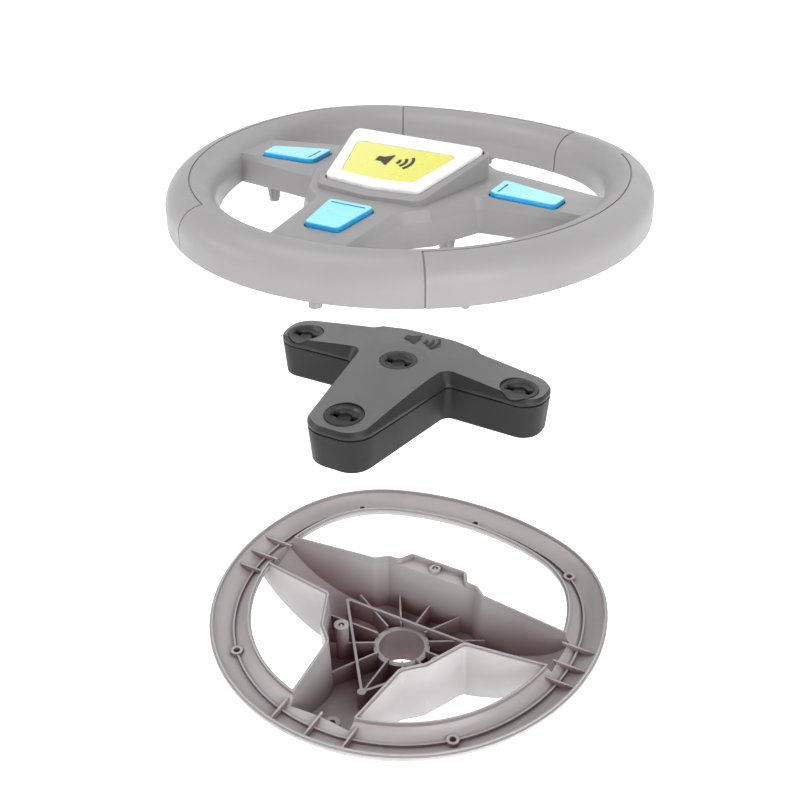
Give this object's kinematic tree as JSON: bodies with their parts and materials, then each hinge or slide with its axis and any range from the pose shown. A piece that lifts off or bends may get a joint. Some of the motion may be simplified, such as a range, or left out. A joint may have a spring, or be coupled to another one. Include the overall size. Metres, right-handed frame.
{
  "type": "toy steering wheel with sound box",
  "caption": "Child's toy steering wheel taken apart: a front shell with push buttons and horn, a three-armed sound box, and a ribbed back shell with a hub.",
  "frame": {"origin": "on the steering axis, at the lower end of the hub's bore", "axes": "+Z along the steering axis towards the driver, +Y towards 12 o'clock, +X to the driver's right"},
  "size_m": [0.2788, 0.2725, 0.4017],
  "materials": {
    "shell_plastic": "fine moulded grain, satin",
    "pad_plastic": "smooth gloss",
    "bezel_plastic": "smooth gloss",
    "plate_film": "printed film",
    "sign_ink": "printed ink",
    "box_plastic": "fine moulded grain",
    "lid_plastic": "fine moulded grain",
    "socket_plastic": "satin",
    "plunger_plastic": "satin",
    "screw_steel": "zinc plated",
    "spring_steel": "drawn wire",
    "board": "solder mask",
    "switch_plastic": "moulded",
    "cell_wrap": "shrink film",
    "contact_nickel": "nickel plated",
    "speaker_metal": "pressed steel",
    "speaker_paper": "pressed paper"
  },
  "bodies": {
    "back": {"back_shell": "shell_plastic"},
    "screws": {"shell_screws": "screw_steel"},
    "sound_box": {"box_tray": "box_plastic", "box_lid": "lid_plastic", "left_socket": "socket_plastic", "right_socket": "socket_plastic", "lower_socket": "socket_plastic", "centre_socket": "socket_plastic", "circuit_board": "board", "switches": "switch_plastic", "cells": "cell_wrap", "battery_contacts": "contact_nickel", "battery_door": "box_plastic", "speaker_frame": "speaker_metal", "speaker_cone": "speaker_paper", "speaker_magnet": "speaker_metal", "box_screws": "screw_steel", "box_sign": "sign_ink"},
    "left_rod": {"left_plunger": "plunger_plastic"},
    "right_rod": {"right_plunger": "plunger_plastic"},
    "lower_rod": {"lower_plunger": "plunger_plastic"},
    "centre_rod": {"centre_plunger": "plunger_plastic"},
    "cover": {"front_shell": "shell_plastic", "left_pad_spring": "spring_steel", "right_pad_spring": "spring_steel", "lower_pad_spring": "spring_steel", "horn_spring": "spring_steel"},
    "left_button": {"left_pad": "pad_plastic", "left_pad_clip": "spring_steel"},
    "right_button": {"right_pad": "pad_plastic", "right_pad_clip": "spring_steel"},
    "lower_button": {"lower_pad": "pad_plastic", "lower_pad_clip": "spring_steel"},
    "horn_button": {"horn_bezel": "bezel_plastic", "horn_plate": "plate_film", "horn_sign": "sign_ink", "horn_clip": "spring_steel"}
  },
  "joints": [
    {"name": "box_lift", "type": "slide", "parent": "back", "child": "sound_box", "axis": [0, 0, 1], "range_m": [-0.1977, 0]},
    {"name": "cover_lift", "type": "slide", "parent": "sound_box", "child": "cover", "axis": [0, 0, 1], "range_m": [-0.1039, 0]},
    {"name": "screws_drive", "type": "slide", "parent": "back", "child": "screws", "axis": [0, 0, 1], "range_m": [0, 0.011]},
    {"name": "left_press", "type": "slide", "parent": "cover", "child": "left_button", "axis": [0, 0, 1], "range_m": [-0.002, 0], "stiffness_N_per_m": 400, "springref_m": 0.002, "deforming": ["left_pad_spring"]},
    {"name": "right_press", "type": "slide", "parent": "cover", "child": "right_button", "axis": [0, 0, 1], "range_m": [-0.002, 0], "stiffness_N_per_m": 400, "springref_m": 0.002, "deforming": ["right_pad_spring"]},
    {"name": "lower_press", "type": "slide", "parent": "cover", "child": "lower_button", "axis": [0, 0, 1], "range_m": [-0.002, 0], "stiffness_N_per_m": 400, "springref_m": 0.002, "deforming": ["lower_pad_spring"]},
    {"name": "horn_press", "type": "slide", "parent": "cover", "child": "horn_button", "axis": [0, 0, 1], "range_m": [-0.002, 0], "stiffness_N_per_m": 400, "springref_m": 0.002, "deforming": ["horn_spring"]},
    {"name": "left_rod_press", "type": "slide", "parent": "sound_box", "child": "left_rod", "axis": [0, 0, 1], "range_m": [-0.002, 0]},
    {"name": "right_rod_press", "type": "slide", "parent": "sound_box", "child": "right_rod", "axis": [0, 0, 1], "range_m": [-0.002, 0]},
    {"name": "lower_rod_press", "type": "slide", "parent": "sound_box", "child": "lower_rod", "axis": [0, 0, 1], "range_m": [-0.002, 0]},
    {"name": "centre_rod_press", "type": "slide", "parent": "sound_box", "child": "centre_rod", "axis": [0, 0, 1], "range_m": [-0.002, 0]}
  ],
  "couplings": [
    {"joint": "screws_drive", "follows": "cover_lift", "ratio": -0.10587},
    {"joint": "left_rod_press", "follows": "left_press", "ratio": 1},
    {"joint": "right_rod_press", "follows": "right_press", "ratio": 1},
    {"joint": "lower_rod_press", "follows": "lower_press", "ratio": 1},
    {"joint": "centre_rod_press", "follows": "horn_press", "ratio": 1}
  ]
}
